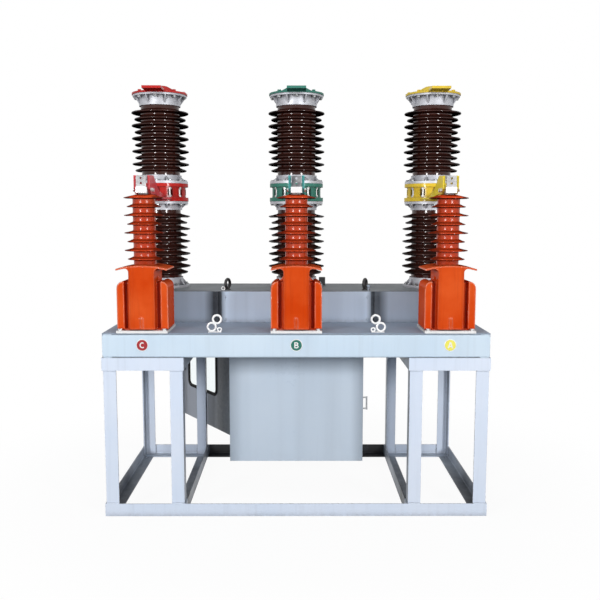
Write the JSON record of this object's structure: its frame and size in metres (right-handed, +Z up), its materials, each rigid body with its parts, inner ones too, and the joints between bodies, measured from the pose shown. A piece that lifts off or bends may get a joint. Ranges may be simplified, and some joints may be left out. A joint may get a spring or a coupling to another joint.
{
  "type": "outdoor vacuum circuit breaker",
  "caption": "Outdoor vacuum circuit breaker: porcelain poles on a gear box, resin current transformers in front, and a hinged mechanism cabinet under an angle-steel stand.",
  "frame": {"origin": "centre of the stand's footprint, on the ground", "axes": "+Z up, -Y towards the front with the current transformers, +X to the right seen from the front"},
  "size_m": [1.9, 1.4555, 2.189],
  "materials": {
    "stand_paint": "satin pale blue-grey paint",
    "deck_paint": "matt grey paint, weathered",
    "box_paint": "satin pale blue-grey paint",
    "base_paint": "white galvanised and painted steel",
    "dark_fittings": "satin black",
    "zinc": "zinc plated, dull",
    "steel": "machined and oiled",
    "spring_steel": "black oxide",
    "insulating_rod": "glass-fibre rod, matt",
    "rubber": "matt black",
    "glass": "clear float glass",
    "porcelain": "glossy dark brown glaze",
    "cast_aluminium": "fine cast, satin",
    "terminal_metal": "plain extruded, satin",
    "resin": "cast epoxy resin, semi-gloss",
    "phase_a": "satin yellow enamel",
    "phase_b": "satin green enamel",
    "phase_c": "satin red enamel"
  },
  "bodies": {
    "breaker": {"posts": "stand_paint", "long_bottom_rails": "stand_paint", "side_bottom_rails": "stand_paint", "long_top_rails": "stand_paint", "side_top_rails": "stand_paint", "outer_beams": "stand_paint", "side_beams": "stand_paint", "mid_beams": "stand_paint", "deck": "deck_paint", "gear_box": "box_paint", "gear_lid": "box_paint", "gear_covers": "box_paint", "cabinet": "box_paint", "cabinet_handle": "dark_fittings", "hinge_leaves": "zinc", "mech_frame": "zinc", "mech_drive": "steel", "mech_spring": "spring_steel", "drive_rod": "insulating_rod", "lifting_eyes": "dark_fittings", "deck_eyes": "zinc", "lid_terminal": "dark_fittings", "porcelain_a": "porcelain", "fittings_a": "cast_aluminium", "housing_a": "phase_a", "cap_a": "phase_a", "ct_base_a": "base_paint", "ct_body_a": "resin", "ct_terminal_a": "terminal_metal", "porcelain_b": "porcelain", "fittings_b": "cast_aluminium", "housing_b": "phase_b", "cap_b": "phase_b", "ct_base_b": "base_paint", "ct_body_b": "resin", "ct_terminal_b": "terminal_metal", "porcelain_c": "porcelain", "fittings_c": "cast_aluminium", "housing_c": "phase_c", "cap_c": "phase_c", "ct_base_c": "base_paint", "ct_body_c": "resin", "ct_terminal_c": "terminal_metal"},
    "door_leaf": {"door": "box_paint", "window_seal": "rubber", "window_pane": "glass", "door_latch": "dark_fittings"}
  },
  "joints": [
    {"name": "cabinet_door", "type": "hinge", "parent": "breaker", "child": "door_leaf", "pos_m": [-0.354, 0.3463, 0], "axis": [0, 0, 1], "range_deg": [-123, 8]}
  ]
}
